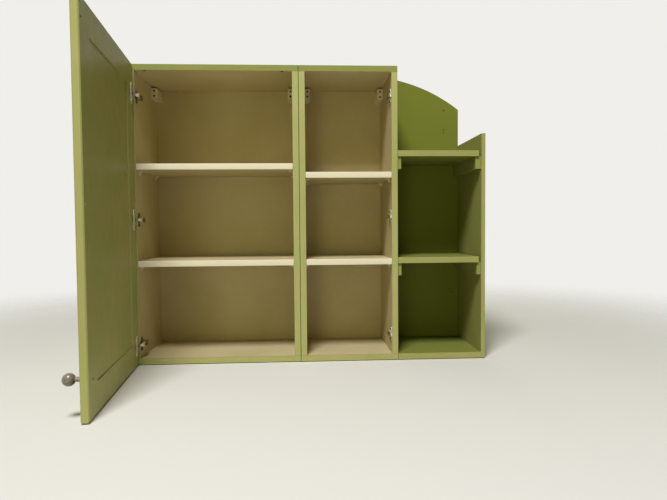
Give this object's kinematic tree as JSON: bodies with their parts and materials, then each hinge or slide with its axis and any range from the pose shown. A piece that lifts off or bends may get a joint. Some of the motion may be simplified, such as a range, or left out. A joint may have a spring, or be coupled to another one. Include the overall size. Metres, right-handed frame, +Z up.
{
  "type": "fitted wall cupboard",
  "caption": "Run of wall cupboards: a shelved unit with an open framed door on concealed hinges, a narrow open unit and an open corner bay with a curved back board.",
  "frame": {"origin": "on the wall plane, at the middle of the rear edge of the middle unit's left side board", "axes": "+X along the wall to the right as seen from the front, +Y into the wall, +Z up; the fronts face -Y"},
  "size_m": [1.0845, 0.7867, 0.934],
  "materials": {
    "green_paint": "olive green satin paint, brushed on, lightly worn",
    "painted_carcass": "coated board, cream inside and painted green outside and along the front edges",
    "cream_board": "cream coated board, satin",
    "cream_panel": "thin cream coated panel, satin",
    "cream_plastic": "moulded, satin",
    "nickel_steel": "nickel plated, slightly dulled",
    "knob_wood": "turned, grey-brown wax"
  },
  "bodies": {
    "cupboard": {"left_unit_left_side": "painted_carcass", "left_unit_right_side": "painted_carcass", "left_unit_top": "painted_carcass", "left_unit_bottom": "painted_carcass", "left_unit_back": "cream_panel", "left_unit_upper_shelf": "cream_board", "left_unit_lower_shelf": "cream_board", "left_unit_shelf_supports": "cream_plastic", "left_unit_hanger_covers": "cream_plastic", "hinge_arm_lower": "nickel_steel", "hinge_arm_middle": "nickel_steel", "hinge_arm_upper": "nickel_steel", "middle_unit_left_side": "painted_carcass", "middle_unit_right_side": "painted_carcass", "middle_unit_top": "painted_carcass", "middle_unit_bottom": "painted_carcass", "middle_unit_back": "cream_panel", "middle_unit_upper_shelf": "cream_board", "middle_unit_lower_shelf": "cream_board", "middle_unit_shelf_supports": "cream_plastic", "middle_unit_hanger_covers": "cream_plastic", "hanging_hooks": "nickel_steel", "spare_hinge_plate_lower": "nickel_steel", "spare_hinge_plate_middle": "nickel_steel", "spare_hinge_plate_upper": "nickel_steel", "bay_back_board": "green_paint", "bay_side_lining": "green_paint", "bay_upper_shelf": "green_paint", "bay_lower_shelf": "green_paint", "bay_bottom_board": "green_paint", "bay_left_cleats": "green_paint", "bay_right_cleats": "green_paint"},
    "door": {"door_hinge_stile": "green_paint", "door_lock_stile": "green_paint", "door_top_rail": "green_paint", "door_bottom_rail": "green_paint", "door_panel": "green_paint", "door_knob": "knob_wood", "hinge_cup_lower": "nickel_steel", "hinge_cup_middle": "nickel_steel", "hinge_cup_upper": "nickel_steel"}
  },
  "joints": [
    {"name": "door_hinge", "type": "hinge", "parent": "cupboard", "child": "door", "pos_m": [-0.5061, -0.2945, 0], "axis": [0, 0, -1], "range_deg": [-84.7, 20.3]}
  ]
}
